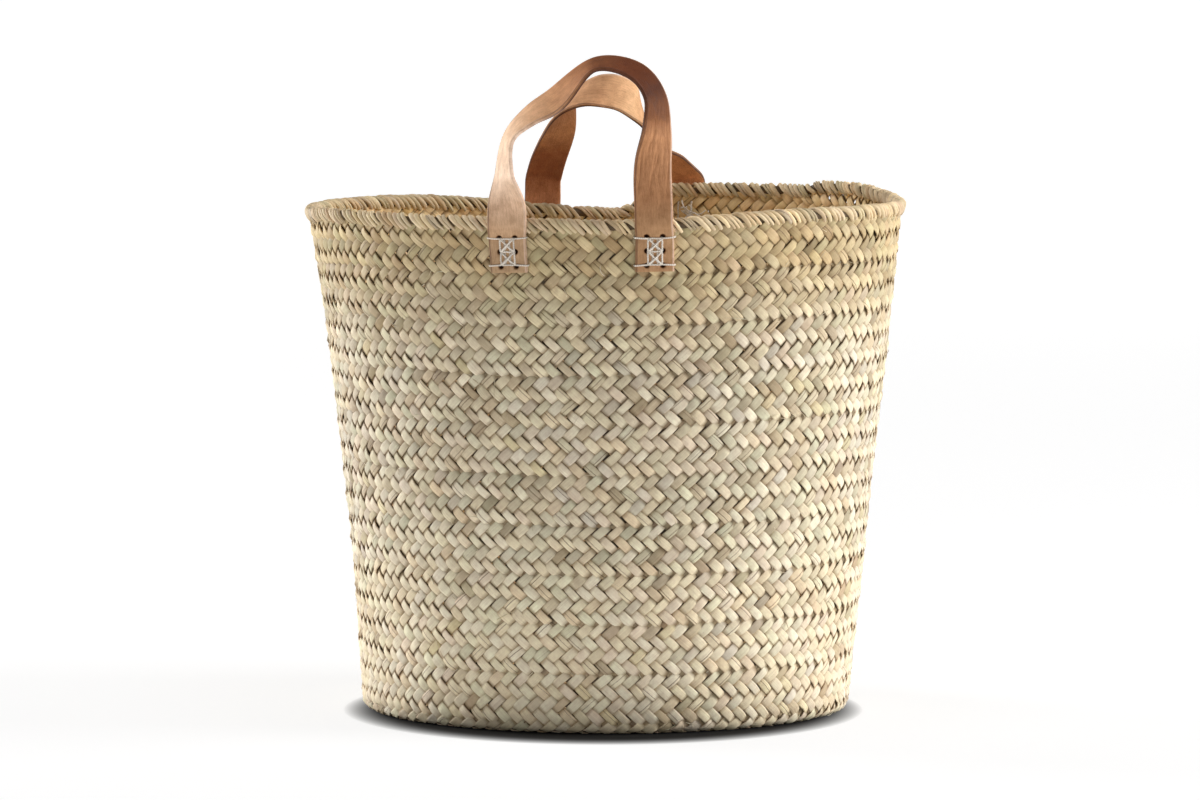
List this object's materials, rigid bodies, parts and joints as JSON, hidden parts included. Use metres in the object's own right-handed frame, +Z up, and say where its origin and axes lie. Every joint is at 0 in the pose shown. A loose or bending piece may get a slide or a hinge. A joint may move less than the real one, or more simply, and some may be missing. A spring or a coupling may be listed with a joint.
{
  "type": "basket",
  "caption": "Oval palm-leaf market basket wound from a sewn plaited strip, with a bound rim and two swinging leather strap handles.",
  "frame": {"origin": "under the middle of the base, on the surface that the basket stands on", "axes": "+Z up, +X to the right and -Y towards the front, the side of the upright handle"},
  "size_m": [0.4324, 0.3855, 0.4791],
  "materials": {
    "palm_plait": "matte",
    "palm_cord": "matte",
    "palm_binding": "matte",
    "leather": "satin",
    "waxed_thread": "matte"
  },
  "bodies": {
    "basket": {"base_strip_start": "palm_plait", "base_strip_turn_01": "palm_plait", "base_strip_turn_02": "palm_plait", "base_strip_turn_03": "palm_plait", "base_strip_turn_04_back_left": "palm_plait", "base_strip_turn_04_front_left": "palm_plait", "base_strip_turn_04_front_right": "palm_plait", "base_strip_turn_04_back_right": "palm_plait", "wall_strip_turn_01": "palm_plait", "wall_strip_turn_02": "palm_plait", "wall_strip_turn_03": "palm_plait", "wall_strip_turn_04": "palm_plait", "wall_strip_turn_05": "palm_plait", "wall_strip_turn_06": "palm_plait", "wall_strip_turn_07": "palm_plait", "wall_strip_turn_08": "palm_plait", "wall_strip_turn_09": "palm_plait", "wall_strip_turn_10": "palm_plait", "seam_cord": "palm_cord", "rim_binding": "palm_binding", "front_handle_left_end": "leather", "front_handle_right_end": "leather", "back_handle_left_end": "leather", "back_handle_right_end": "leather", "front_handle_left_stitching": "waxed_thread", "front_handle_right_stitching": "waxed_thread", "back_handle_left_stitching": "waxed_thread", "back_handle_right_stitching": "waxed_thread"},
    "front_handle": {"front_handle_loop": "leather"},
    "back_handle": {"back_handle_loop": "leather"}
  },
  "joints": [
    {"name": "front_handle_swing", "type": "hinge", "parent": "basket", "child": "front_handle", "pos_m": [-0.004, -0.1863, 0.36919], "axis": [1, 0, 0], "range_deg": [-60, 130]},
    {"name": "back_handle_swing", "type": "hinge", "parent": "basket", "child": "back_handle", "pos_m": [-0.00575, 0.18616, 0.36923], "axis": [1, 0, 0], "range_deg": [-178, 30]}
  ]
}
